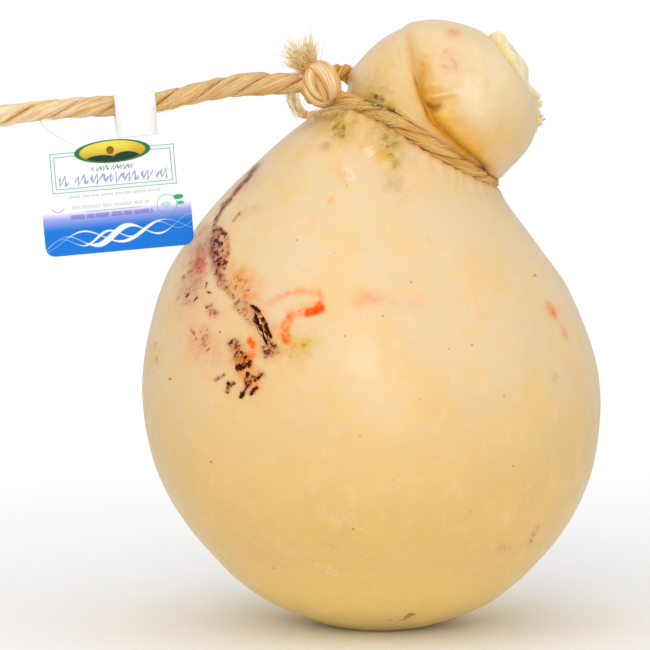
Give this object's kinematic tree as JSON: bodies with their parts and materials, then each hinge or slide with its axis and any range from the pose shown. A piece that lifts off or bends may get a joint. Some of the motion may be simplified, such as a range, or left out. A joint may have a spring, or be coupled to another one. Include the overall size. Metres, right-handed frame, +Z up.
{
  "type": "caciocavallo cheese",
  "caption": "Aged stretched-curd cheese shaped like a pear, its small folded head tied off at the neck by a knotted sisal cord that carries a blank card tag.",
  "frame": {"origin": "middle of the flat spot that the cheese rests on", "axes": "+Z up the cheese from its foot to its head; +X to the side that the head leans to, away from the knot; the head's fold faces -Y"},
  "size_m": [0.223, 0.1485, 0.2049],
  "materials": {
    "rind": "smooth waxy cheese rind with a soft sheen, mould specks and reddish stains",
    "sisal": "twisted two-ply sisal cord with loose fibres",
    "card": "printed satin card"
  },
  "bodies": {
    "root": {"cheese": "rind", "neck_cord": "sisal", "neck_knot": "sisal", "hanging_cord": "sisal", "end_knot": "sisal", "tag": "card"}
  },
  "joints": []
}
